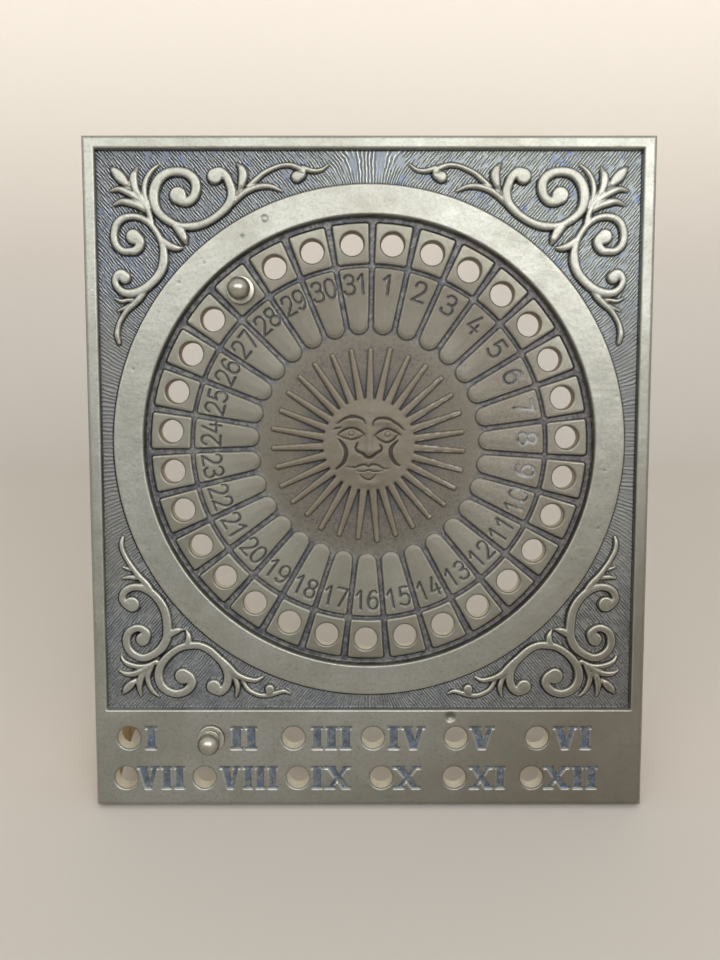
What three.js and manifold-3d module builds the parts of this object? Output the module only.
// Perpetual desk calendar: a cast metal plate leaning back on two screwed-on legs. A ring of
// day holes and two rows of month holes each take a marker peg, which is moved by hand.
// Millimetres, +Z up. The plate faces -Y and X runs along its lower edge.
import * as THREE from 'three';
import { mergeVertices } from 'three/addons/utils/BufferGeometryUtils.js';
import Module from 'manifold-3d';

const wasm = await Module();
wasm.setup();

// Plate
const plateWidth = 150;
const plateHeight = 180;
const plateThickness = 5.5;
const leanAngle = THREE.MathUtils.degToRad(12);
const edgeChamfer = 1;
const borderWidth = 3.4;
const monthBandHeight = 27;
const recessDepth = 1.5;

// Dial in the plate's recess, measured from its own centre
const dialCentreHeight = 99.5;
const dialRimOuterRadius = 68.2;
const dialRimInnerRadius = 60.2;
const dialDepth = 2.5;
const dialTurn = THREE.MathUtils.degToRad(-0.9);
const dayCount = 31;
const dayHoleCircleRadius = 53.1;
const padOuterRadius = 58.6;
const padInnerRadius = 47.9;
const petalOuterRadius = 46.3;
const petalInnerRadius = 29.3;
const grooveWidth = 1.9;
const tileRelief = 1;

// Sun in the middle of the dial, with one ray on each groove between two days
const sunDiscRadius = 11.8;
const sunRayRadius = 26.2;
const rayTipWidth = 1;
const rayGapAtDisc = 0.5;
const sunRelief = 0.9;

// Marker holes
const pegHoleRadius = 3;
const monthRowHeights = { upper: 19.1, lower: 7.9 };
const monthHoleWidthShares = {
  upper: [-0.439, -0.287, -0.137, 0.007, 0.159, 0.308],
  lower: [-0.445, -0.303, -0.129, 0.023, 0.158, 0.298],
};

// Marker pegs
const pegRunningGap = 0.3;
const pegShankLength = 9;
const pegTipChamfer = 0.6;
const pegCollarRadius = 3.7;
const pegCollarThickness = 1;
const pegNeckRadius = 2.1;
const pegKnobRadius = 3;
const pegKnobRise = 3.2;
const datePegHoleIndex = 28;
const monthPegHoleIndex = 1;

// Legs
const seatGap = 0.3;
const legThickness = 4;
const legInset = 0.8;
const legLowHeight = 3;
const legHighHeight = 56;
const legReach = 54;
const legToeHeight = 6;
const legToeSlope = 2;
const legSoleLength = 18;
const legArchControl = { back: 26, up: 14 };
const legBackControl = { back: 18, up: 14 };
const flangeWidth = 14;
const flangeThickness = 3;
const flangeLowHeight = 29;
const flangeHighHeight = 55;

// Leg screws
const screwShankRadius = 1.5;
const screwHeadRadius = 2.9;
const screwHeadHeight = 2;
const screwDomeDrop = 0.7;
const screwBite = 2.3;
const screwSlotWidth = 0.8;
const screwSlotDepth = 0.9;
const screwEdgeDistance = 6;

// One overrun for every cut and every join that sinks one solid into another
const overrun = 0.5;

// Roundness
const holeSides = 16;
const rimSides = 72;
const turnedSides = 16;
const blobSides = 10;
const petalTipSteps = 4;
const legCurveSteps = 10;
const knobSteps = 7;
const domeSteps = 3;

const antiqueSilver = new THREE.Color(0x8f8e82);
const agedBrass = new THREE.Color(0xa5854c);
const wornSilver = new THREE.Color(0xa9a89c);
const darkSteel = new THREE.Color(0x5b5a56);

// The scrollwork in the corners. Places and half widths are shares of scrollGrid: the first
// is measured inward from the recess's side, the second inward from its top or lower edge.
const scrollGrid = 10;
const scrollRelief = 1.1;
const topScrollShares = [
  // big scroll under the top edge, from its small curl to its eye
  [[3.27, 0.61, 0.11], [3.42, 0.71, 0.1], [3.51, 0.88, 0.095], [3.57, 1.11, 0.1], [3.53, 1.33, 0.1],
    [3.39, 1.52, 0.09], [3.17, 1.71, 0.08], [2.88, 1.88, 0.08], [2.56, 1.97, 0.085], [2.18, 1.96, 0.075],
    [1.88, 1.82, 0.085], [1.63, 1.6, 0.095], [1.53, 1.33, 0.11], [1.55, 1.03, 0.115], [1.67, 0.78, 0.11],
    [1.87, 0.62, 0.1], [2.13, 0.57, 0.095], [2.38, 0.61, 0.1], [2.57, 0.75, 0.105], [2.64, 0.96, 0.11],
    [2.59, 1.18, 0.1], [2.44, 1.31, 0.09], [2.23, 1.31, 0.08]],
  // scroll along the side, from its eye to its small curl
  [[1.1, 2.31, 0.12], [1.12, 2.44, 0.1], [1.03, 2.56, 0.09], [0.88, 2.62, 0.075], [0.69, 2.61, 0.075],
    [0.54, 2.49, 0.08], [0.47, 2.31, 0.08], [0.48, 2.11, 0.08], [0.55, 1.91, 0.08], [0.71, 1.77, 0.075],
    [0.94, 1.72, 0.065], [1.18, 1.76, 0.065], [1.4, 1.9, 0.065], [1.57, 2.11, 0.065], [1.7, 2.35, 0.07],
    [1.76, 2.61, 0.085], [1.76, 2.87, 0.105], [1.69, 3.11, 0.1], [1.53, 3.34, 0.095], [1.28, 3.56, 0.095],
    [1.01, 3.69, 0.095], [0.74, 3.7, 0.085], [0.55, 3.58, 0.075], [0.48, 3.41, 0.075], [0.54, 3.24, 0.08],
    [0.66, 3.18, 0.09]],
  // two tongues of the fork between the scrolls
  [[2.18, 2.01, 0.06], [2.29, 2.21, 0.055], [2.35, 2.38, 0.045], [2.33, 2.49, 0.01]],
  [[1.77, 2.4, 0.05], [1.92, 2.52, 0.05], [2.08, 2.58, 0.045], [2.26, 2.6, 0.01]],
  // five leaves that spray into the corner, and their stem
  [[0.42, 0.47, 0.015], [0.54, 0.59, 0.065], [0.66, 0.72, 0.085], [0.8, 0.87, 0.055], [0.92, 1.01, 0.01]],
  [[1.1, 0.5, 0.01], [1.02, 0.78, 0.06], [1.07, 1.04, 0.05], [1.18, 1.26, 0.035], [1.32, 1.44, 0.03]],
  [[1.65, 0.4, 0.01], [1.46, 0.57, 0.03], [1.32, 0.79, 0.04], [1.27, 1.03, 0.045], [1.3, 1.27, 0.04],
    [1.4, 1.51, 0.035]],
  [[0.38, 1.07, 0.01], [0.6, 1.03, 0.035], [0.82, 1.1, 0.05], [1.04, 1.24, 0.05], [1.24, 1.4, 0.04]],
  [[0.45, 1.43, 0.01], [0.68, 1.33, 0.04], [0.9, 1.36, 0.055], [1.1, 1.43, 0.05], [1.29, 1.54, 0.045]],
  [[1.3, 1.43, 0.06], [1.46, 1.65, 0.05], [1.62, 1.95, 0.02]],
  // upright leaf, long leaf and tendril towards the middle of the top edge
  [[3.71, 0.37, 0.01], [3.82, 0.49, 0.065], [3.87, 0.67, 0.1], [3.83, 0.87, 0.075], [3.77, 1.06, 0.04],
    [3.73, 1.2, 0.025]],
  [[3.57, 1.39, 0.05], [3.75, 1.22, 0.055], [3.95, 1.07, 0.06], [4.17, 0.98, 0.055], [4.39, 0.94, 0.05],
    [4.62, 0.96, 0.04], [4.88, 1.07, 0.01]],
  [[4, 0.96, 0.045], [4.2, 0.78, 0.05], [4.39, 0.62, 0.045], [4.62, 0.5, 0.04], [4.84, 0.42, 0.035],
    [5.06, 0.4, 0.04], [5.25, 0.45, 0.05], [5.41, 0.54, 0.055], [5.45, 0.67, 0.05]],
  [[5.43, 0.48, 0.05], [5.59, 0.53, 0.045], [5.75, 0.55, 0.035], [5.92, 0.52, 0.025], [6.09, 0.4, 0.01]],
  // two small leaves and the tail down the side
  [[0.96, 3.89, 0.035], [0.78, 3.89, 0.03], [0.61, 3.91, 0.03], [0.45, 3.84, 0.01]],
  [[0.96, 3.97, 0.04], [0.78, 4.06, 0.04], [0.52, 4.17, 0.01]],
  [[1.08, 3.81, 0.08], [0.96, 4.02, 0.06], [0.78, 4.17, 0.045], [0.66, 4.31, 0.04], [0.55, 4.49, 0.045],
    [0.5, 4.67, 0.05], [0.49, 4.82, 0.055], [0.53, 5.01, 0.035]],
];
const topBlobShares = [
  [3.13, 0.69, 0.2], [2.15, 1.17, 0.225], [0.96, 2.22, 0.195], [0.72, 3.3, 0.16], [5.26, 0.71, 0.14],
];
const lowerScrollShares = [
  // scroll above the month band, from its eye to its small curl
  [[2.31, 0.96, 0.1], [2.31, 0.72, 0.1], [2.18, 0.53, 0.095], [1.93, 0.44, 0.095], [1.68, 0.5, 0.095],
    [1.49, 0.67, 0.1], [1.42, 0.92, 0.1], [1.45, 1.14, 0.095], [1.57, 1.36, 0.09], [1.77, 1.56, 0.08],
    [2.02, 1.72, 0.08], [2.27, 1.78, 0.085], [2.54, 1.78, 0.085], [2.79, 1.67, 0.09], [3.02, 1.47, 0.09],
    [3.18, 1.28, 0.09], [3.29, 1.06, 0.095], [3.31, 0.83, 0.095], [3.24, 0.61, 0.095], [3.07, 0.49, 0.09]],
  // scroll along the side, from its eye to its small curl
  [[1.14, 2.1, 0.09], [0.99, 2.24, 0.08], [0.82, 2.26, 0.085], [0.63, 2.14, 0.09], [0.56, 1.92, 0.095],
    [0.61, 1.69, 0.09], [0.79, 1.51, 0.09], [1.02, 1.44, 0.09], [1.27, 1.53, 0.09], [1.49, 1.69, 0.1],
    [1.63, 1.92, 0.1], [1.68, 2.14, 0.1], [1.68, 2.39, 0.105], [1.64, 2.67, 0.105], [1.54, 2.92, 0.1],
    [1.35, 3.17, 0.095], [1.13, 3.33, 0.09], [0.9, 3.4, 0.08], [0.68, 3.37, 0.08], [0.52, 3.25, 0.08],
    [0.47, 3.06, 0.08], [0.56, 2.9, 0.09]],
  // tail up the side and its two small leaves
  [[0.52, 4.75, 0.025], [0.48, 4.58, 0.045], [0.51, 4.38, 0.05], [0.62, 4.15, 0.05], [0.76, 3.93, 0.055],
    [0.93, 3.7, 0.065], [1.13, 3.48, 0.075], [1.3, 3.25, 0.06]],
  [[0.81, 3.85, 0.03], [0.66, 3.88, 0.03], [0.5, 3.93, 0.01]],
  [[0.9, 3.64, 0.04], [0.68, 3.66, 0.04], [0.48, 3.63, 0.01]],
  // five leaves that spray into the corner
  [[0.4, 1.47, 0.01], [0.49, 1.33, 0.035], [0.65, 1.24, 0.04], [0.88, 1.19, 0.04], [1.1, 1.21, 0.04],
    [1.36, 1.32, 0.04]],
  [[0.35, 1.06, 0.01], [0.52, 0.99, 0.04], [0.71, 0.99, 0.05], [0.93, 1.06, 0.055], [1.2, 1.22, 0.05]],
  [[0.42, 0.42, 0.01], [0.54, 0.58, 0.06], [0.68, 0.72, 0.055], [0.82, 0.83, 0.01]],
  [[1.04, 1.1, 0.03], [0.9, 0.81, 0.06], [0.89, 0.58, 0.045], [0.92, 0.36, 0.01]],
  [[1.24, 1.24, 0.045], [1.11, 0.92, 0.04], [1.14, 0.69, 0.035], [1.24, 0.5, 0.03], [1.4, 0.35, 0.01]],
  // two tongues of the fork between the scrolls
  [[1.7, 2.16, 0.045], [1.9, 2.24, 0.04], [2.1, 2.25, 0.01]],
  [[2.23, 1.76, 0.05], [2.24, 1.98, 0.04], [2.18, 2.19, 0.01]],
  // stem, hanging leaf and branch towards the middle of the lower edge
  [[3.13, 1.38, 0.085], [3.33, 1.18, 0.09], [3.51, 1, 0.075], [3.68, 0.9, 0.065], [3.88, 0.83, 0.055],
    [4.08, 0.81, 0.045], [4.26, 0.9, 0.01]],
  [[3.41, 1.02, 0.04], [3.53, 0.78, 0.05], [3.57, 0.58, 0.05], [3.52, 0.34, 0.01]],
  [[3.64, 0.92, 0.03], [3.83, 0.58, 0.045], [4.01, 0.45, 0.045], [4.21, 0.38, 0.045], [4.43, 0.39, 0.045],
    [4.63, 0.45, 0.045], [4.83, 0.5, 0.04], [5, 0.43, 0.01]],
];
const lowerBlobShares = [
  [2.08, 0.94, 0.22], [2.91, 0.64, 0.2], [0.99, 1.94, 0.19], [0.73, 2.92, 0.21], [4.45, 0.57, 0.12],
];

// Solids

function toSolid(geometry) {
  geometry.deleteAttribute('normal');
  geometry.deleteAttribute('uv');
  const merged = mergeVertices(geometry);
  const vertProperties = new Float32Array(merged.attributes.position.array);
  const triVerts = new Uint32Array(merged.index.array);
  return new wasm.Manifold(new wasm.Mesh({ numProp: 3, vertProperties, triVerts }));
}

function toGeometry(solid) {
  const mesh = solid.getMesh();
  const geometry = new THREE.BufferGeometry();
  geometry.setAttribute('position', new THREE.BufferAttribute(mesh.vertProperties, 3));
  geometry.setIndex(new THREE.BufferAttribute(mesh.triVerts, 1));
  const separate = geometry.toNonIndexed();
  separate.computeVertexNormals();
  return separate;
}

function prism(shape, low, high, curveSegments = 1) {
  const depth = high - low;
  const geometry = new THREE.ExtrudeGeometry(shape, { depth, bevelEnabled: false, curveSegments });
  return geometry.translate(0, 0, low);
}

function rod(x, y, radius, low, high, sides) {
  const geometry = new THREE.CylinderGeometry(radius, radius, high - low, sides);
  geometry.rotateX(Math.PI / 2);
  return geometry.translate(x, y, (low + high) / 2);
}

function rectangle(left, low, right, high) {
  return new THREE.Shape([
    new THREE.Vector2(left, low),
    new THREE.Vector2(right, low),
    new THREE.Vector2(right, high),
    new THREE.Vector2(left, high),
  ]);
}

// A closed outline round a line of places, each with its own half width
function strokeShape(places) {
  const left = [];
  const right = [];
  places.forEach(([x, y, halfWidth], i) => {
    const before = places[Math.max(i - 1, 0)];
    const after = places[Math.min(i + 1, places.length - 1)];
    const along = new THREE.Vector2(after[0] - before[0], after[1] - before[1]).normalize();
    left.push(new THREE.Vector2(x - along.y * halfWidth, y + along.x * halfWidth));
    right.unshift(new THREE.Vector2(x + along.y * halfWidth, y - along.x * halfWidth));
  });
  return new THREE.Shape([...left, ...right]);
}

// Places on the plate: x from its middle, y up from its lower edge, z out from its back

const recessSide = plateWidth / 2 - borderWidth;
const recessTop = plateHeight - borderWidth;
const recessFloor = plateThickness - recessDepth;
const dialFloor = plateThickness - dialDepth;
const tileTop = dialFloor + tileRelief;
const dayPitch = (2 * Math.PI) / dayCount;

function dayAngle(day) {
  return Math.PI / 2 - (day - 0.5) * dayPitch + dialTurn;
}

function onDial(radius, angle, across = 0) {
  const x = radius * Math.cos(angle) + across * Math.sin(angle);
  const y = dialCentreHeight + radius * Math.sin(angle) - across * Math.cos(angle);
  return new THREE.Vector2(x, y);
}

function dayHolePlace(day) {
  return onDial(dayHoleCircleRadius, dayAngle(day));
}

function monthHolePlace(row, place) {
  return new THREE.Vector2(monthHoleWidthShares[row][place] * plateWidth, monthRowHeights[row]);
}

// Half the width of a day's sector at a radius, inside its grooves
function tileHalfWidth(radius) {
  return radius * Math.tan(dayPitch / 2) - grooveWidth / 2;
}

function padShape(day) {
  const angle = dayAngle(day);
  const outer = tileHalfWidth(padOuterRadius);
  const inner = tileHalfWidth(padInnerRadius);
  return new THREE.Shape([
    onDial(padInnerRadius, angle, inner),
    onDial(padOuterRadius, angle, outer),
    onDial(padOuterRadius, angle, -outer),
    onDial(padInnerRadius, angle, -inner),
  ]);
}

function petalShape(day) {
  const angle = dayAngle(day);
  const outer = tileHalfWidth(petalOuterRadius);
  const points = [onDial(petalOuterRadius, angle, -outer), onDial(petalOuterRadius, angle, outer)];
  // The inner end is a half round that meets both sides
  const tip = tileHalfWidth(petalInnerRadius);
  for (let i = 0; i <= petalTipSteps; i += 1) {
    const turn = (Math.PI * i) / petalTipSteps;
    const radius = petalInnerRadius + tip * (1 - Math.sin(turn));
    points.push(onDial(radius, angle, tip * Math.cos(turn)));
  }
  return new THREE.Shape(points);
}

function sunShape() {
  const rootHalfWidth = (sunDiscRadius * dayPitch - rayGapAtDisc) / 2;
  const points = [];
  for (let day = 1; day <= dayCount; day += 1) {
    const angle = dayAngle(day) - dayPitch / 2;
    points.push(
      onDial(sunDiscRadius, angle, -rootHalfWidth),
      onDial(sunRayRadius, angle, -rayTipWidth / 2),
      onDial(sunRayRadius, angle, rayTipWidth / 2),
      onDial(sunDiscRadius, angle, rootHalfWidth),
    );
  }
  return new THREE.Shape(points);
}

// Scrollwork for one side of the plate; the other side mirrors it
function scrollSolids(mirror) {
  const solids = [];
  const low = recessFloor - overrun;
  const high = recessFloor + scrollRelief;
  const corners = [
    { strokes: topScrollShares, blobs: topBlobShares, y: (q) => recessTop - q },
    { strokes: lowerScrollShares, blobs: lowerBlobShares, y: (q) => monthBandHeight + q },
  ];
  for (const { strokes, blobs, y } of corners) {
    const place = ([p, q, size]) => [
      mirror * (recessSide - p * scrollGrid),
      y(q * scrollGrid),
      size * scrollGrid,
    ];
    for (const stroke of strokes) {
      solids.push(toSolid(prism(strokeShape(stroke.map(place)), low, high)));
    }
    for (const blob of blobs) {
      const [x, height, radius] = place(blob);
      solids.push(toSolid(rod(x, height, radius, low, high, blobSides)));
    }
  }
  return solids;
}

// Cast plate

function plateBlank() {
  const outline = rectangle(
    edgeChamfer - plateWidth / 2,
    edgeChamfer,
    plateWidth / 2 - edgeChamfer,
    plateHeight - edgeChamfer,
  );
  // The rear chamfer lies behind the back face and is cut away with the overrun
  const depth = plateThickness + overrun - edgeChamfer;
  const geometry = new THREE.ExtrudeGeometry(outline, {
    depth,
    bevelSize: edgeChamfer,
    bevelThickness: edgeChamfer,
    bevelSegments: 1,
  });
  const blank = toSolid(geometry.translate(0, 0, -overrun));
  const rear = rectangle(-plateWidth, -plateHeight, plateWidth, 2 * plateHeight);
  return blank.subtract(toSolid(prism(rear, -plateThickness, 0)));
}

function screwPlaces(side) {
  const x = side * (plateWidth / 2 - legInset - legThickness - (flangeWidth - legThickness) / 2);
  const low = new THREE.Vector2(x, flangeLowHeight + screwEdgeDistance);
  const high = new THREE.Vector2(x, flangeHighHeight - screwEdgeDistance);
  return { lower: low, upper: high };
}

function buildPlate() {
  const above = plateThickness + overrun;
  const recess = toSolid(
    prism(rectangle(-recessSide, monthBandHeight, recessSide, recessTop), recessFloor, above),
  );
  const rim = toSolid(
    rod(0, dialCentreHeight, dialRimOuterRadius, recessFloor - overrun, above + overrun, rimSides),
  );
  const cuts = [
    recess.subtract(rim),
    toSolid(rod(0, dialCentreHeight, dialRimInnerRadius, dialFloor, above, rimSides)),
  ];
  const raised = [toSolid(prism(sunShape(), dialFloor - overrun, dialFloor + sunRelief))];
  for (let day = 1; day <= dayCount; day += 1) {
    raised.push(toSolid(prism(padShape(day), dialFloor - overrun, tileTop)));
    raised.push(toSolid(prism(petalShape(day), dialFloor - overrun, tileTop)));
  }
  raised.push(...scrollSolids(-1), ...scrollSolids(1));

  const holes = [];
  for (let day = 1; day <= dayCount; day += 1) {
    holes.push(dayHolePlace(day));
  }
  for (const row of Object.keys(monthHoleWidthShares)) {
    monthHoleWidthShares[row].forEach((share, place) => holes.push(monthHolePlace(row, place)));
  }
  const drilled = holes.map(({ x, y }) =>
    toSolid(rod(x, y, pegHoleRadius, -overrun, above, holeSides)));
  const screwHoleRadius = screwShankRadius + seatGap;
  for (const side of [-1, 1]) {
    for (const { x, y } of Object.values(screwPlaces(side))) {
      drilled.push(toSolid(rod(x, y, screwHoleRadius, -overrun, screwBite + seatGap, holeSides)));
    }
  }

  const hollowed = cuts.reduce((solid, cut) => solid.subtract(cut), plateBlank());
  const carved = raised.reduce((solid, piece) => solid.add(piece), hollowed);
  return drilled.reduce((solid, hole) => solid.subtract(hole), carved);
}

// Legs

// A place behind the plate's back as seen from the side: y to the rear and z up
function behindPlate(height, depth) {
  const y = height * Math.sin(leanAngle) + depth * Math.cos(leanAngle);
  const z = height * Math.cos(leanAngle) - depth * Math.sin(leanAngle);
  return new THREE.Vector2(y, z);
}

const plateToModel = new THREE.Matrix4().makeRotationX(Math.PI / 2 - leanAngle);
const sideToModel = new THREE.Matrix4().makeBasis(
  new THREE.Vector3(0, 1, 0),
  new THREE.Vector3(0, 0, 1),
  new THREE.Vector3(1, 0, 0),
);

function legShape() {
  const low = behindPlate(legLowHeight, seatGap);
  const high = behindPlate(legHighHeight, seatGap);
  const shoulder = behindPlate(legHighHeight, seatGap + flangeThickness);
  const shape = new THREE.Shape();
  shape.moveTo(low.x, low.y);
  shape.quadraticCurveTo(legArchControl.back, legArchControl.up, legReach - legSoleLength, 0);
  shape.lineTo(legReach, 0);
  shape.lineTo(legReach, legToeHeight - legToeSlope);
  shape.lineTo(legReach - legToeSlope, legToeHeight);
  shape.quadraticCurveTo(legBackControl.back, legBackControl.up, shoulder.x, shoulder.y);
  shape.lineTo(high.x, high.y);
  shape.closePath();
  return shape;
}

function buildLeg(side) {
  const outside = plateWidth / 2 - legInset;
  const inside = outside - legThickness;
  const [left, right] = side < 0 ? [-outside, -inside] : [inside, outside];
  const web = toSolid(prism(legShape(), left, right, legCurveSteps).applyMatrix4(sideToModel));
  const flangeEnd = outside - flangeWidth;
  const [near, far] = side < 0 ? [-outside, -flangeEnd] : [flangeEnd, outside];
  const flangeOutline = rectangle(near, flangeLowHeight, far, flangeHighHeight);
  const flange = toSolid(
    prism(flangeOutline, -seatGap - flangeThickness, -seatGap).applyMatrix4(plateToModel),
  );
  const screwHoles = Object.values(screwPlaces(side)).map(({ x, y }) => {
    const hole = rod(x, y, screwShankRadius + seatGap, -flangeThickness - seatGap - overrun, 0, holeSides);
    return toSolid(hole.applyMatrix4(plateToModel));
  });
  return screwHoles.reduce((solid, hole) => solid.subtract(hole), web.add(flange));
}

// Turned pieces: profiles of radius and height, revolved round the z axis

function turned(profile) {
  const points = profile.map(([radius, height]) => new THREE.Vector2(radius, height));
  return new THREE.LatheGeometry(points, turnedSides).rotateX(Math.PI / 2);
}

// A slotted screw, its head behind the flange and its shank reaching into the plate
function buildScrew() {
  const seat = -flangeThickness - 2 * seatGap;
  const headEdge = seat - screwHeadHeight + screwDomeDrop;
  const profile = [
    [0, screwBite],
    [screwShankRadius, screwBite],
    [screwShankRadius, seat],
    [screwHeadRadius, seat],
    [screwHeadRadius, headEdge],
  ];
  for (let i = 1; i <= domeSteps; i += 1) {
    const turn = (Math.PI * i) / (2 * domeSteps);
    profile.push([screwHeadRadius * Math.cos(turn), headEdge - screwDomeDrop * Math.sin(turn)]);
  }
  profile[profile.length - 1][0] = 0;
  const headTop = seat - screwHeadHeight;
  const slotEnd = screwHeadRadius + overrun;
  const slot = rectangle(-screwSlotWidth / 2, -slotEnd, screwSlotWidth / 2, slotEnd);
  const cut = toSolid(prism(slot, headTop - overrun, headTop + screwSlotDepth));
  return toSolid(turned(profile.reverse())).subtract(cut);
}

// A marker peg seated in a hole, its collar just off the face and its knob in front
function buildPeg(face) {
  const shankRadius = pegHoleRadius - pegRunningGap;
  const seat = face + seatGap;
  const tip = face - pegShankLength;
  const collarTop = seat + pegCollarThickness;
  const knobCentre = collarTop + pegKnobRise;
  const profile = [
    [0, tip],
    [shankRadius - pegTipChamfer, tip],
    [shankRadius, tip + pegTipChamfer],
    [shankRadius, seat],
    [pegCollarRadius, seat],
    [pegCollarRadius, collarTop],
    [pegNeckRadius, collarTop],
  ];
  const neckTurn = Math.asin(pegNeckRadius / pegKnobRadius);
  for (let i = 0; i <= knobSteps; i += 1) {
    const turn = Math.PI - neckTurn - ((Math.PI - neckTurn) * i) / knobSteps;
    profile.push([pegKnobRadius * Math.sin(turn), knobCentre + pegKnobRadius * Math.cos(turn)]);
  }
  profile[profile.length - 1][0] = 0;
  return toSolid(turned(profile));
}

// Assembly

function finish(color, roughness, metalness = 1) {
  return new THREE.MeshStandardMaterial({ color, roughness, metalness });
}

function named(name, solid, material) {
  const mesh = new THREE.Mesh(toGeometry(solid), material);
  mesh.name = name;
  return mesh;
}

const calendar = new THREE.Group();
const leaning = new THREE.Group();
leaning.rotation.x = Math.PI / 2 - leanAngle;
calendar.add(leaning);
leaning.add(named('calendar_plate', buildPlate(), finish(antiqueSilver, 0.42)));

for (const [side, label] of [[-1, 'left'], [1, 'right']]) {
  calendar.add(named(`${label}_leg`, buildLeg(side), finish(agedBrass, 0.45)));
  for (const [height, { x, y }] of Object.entries(screwPlaces(side))) {
    const screw = named(`${label}_${height}_screw`, buildScrew(), finish(darkSteel, 0.4));
    screw.position.set(x, y, 0);
    leaning.add(screw);
  }
}

const pegs = [
  ['date_peg', dayHolePlace(datePegHoleIndex), tileTop],
  ['month_peg', monthHolePlace('upper', monthPegHoleIndex), plateThickness],
];
for (const [name, { x, y }, face] of pegs) {
  const peg = named(name, buildPeg(face), finish(wornSilver, 0.32));
  peg.position.set(x, y, 0);
  leaning.add(peg);
}

// The origin is the middle of the footprint, on the desk
calendar.updateMatrixWorld(true);
const box = new THREE.Box3().setFromObject(calendar, true);
const middle = box.getCenter(new THREE.Vector3());
calendar.position.set(-middle.x, -middle.y, -box.min.z);

export default calendar;
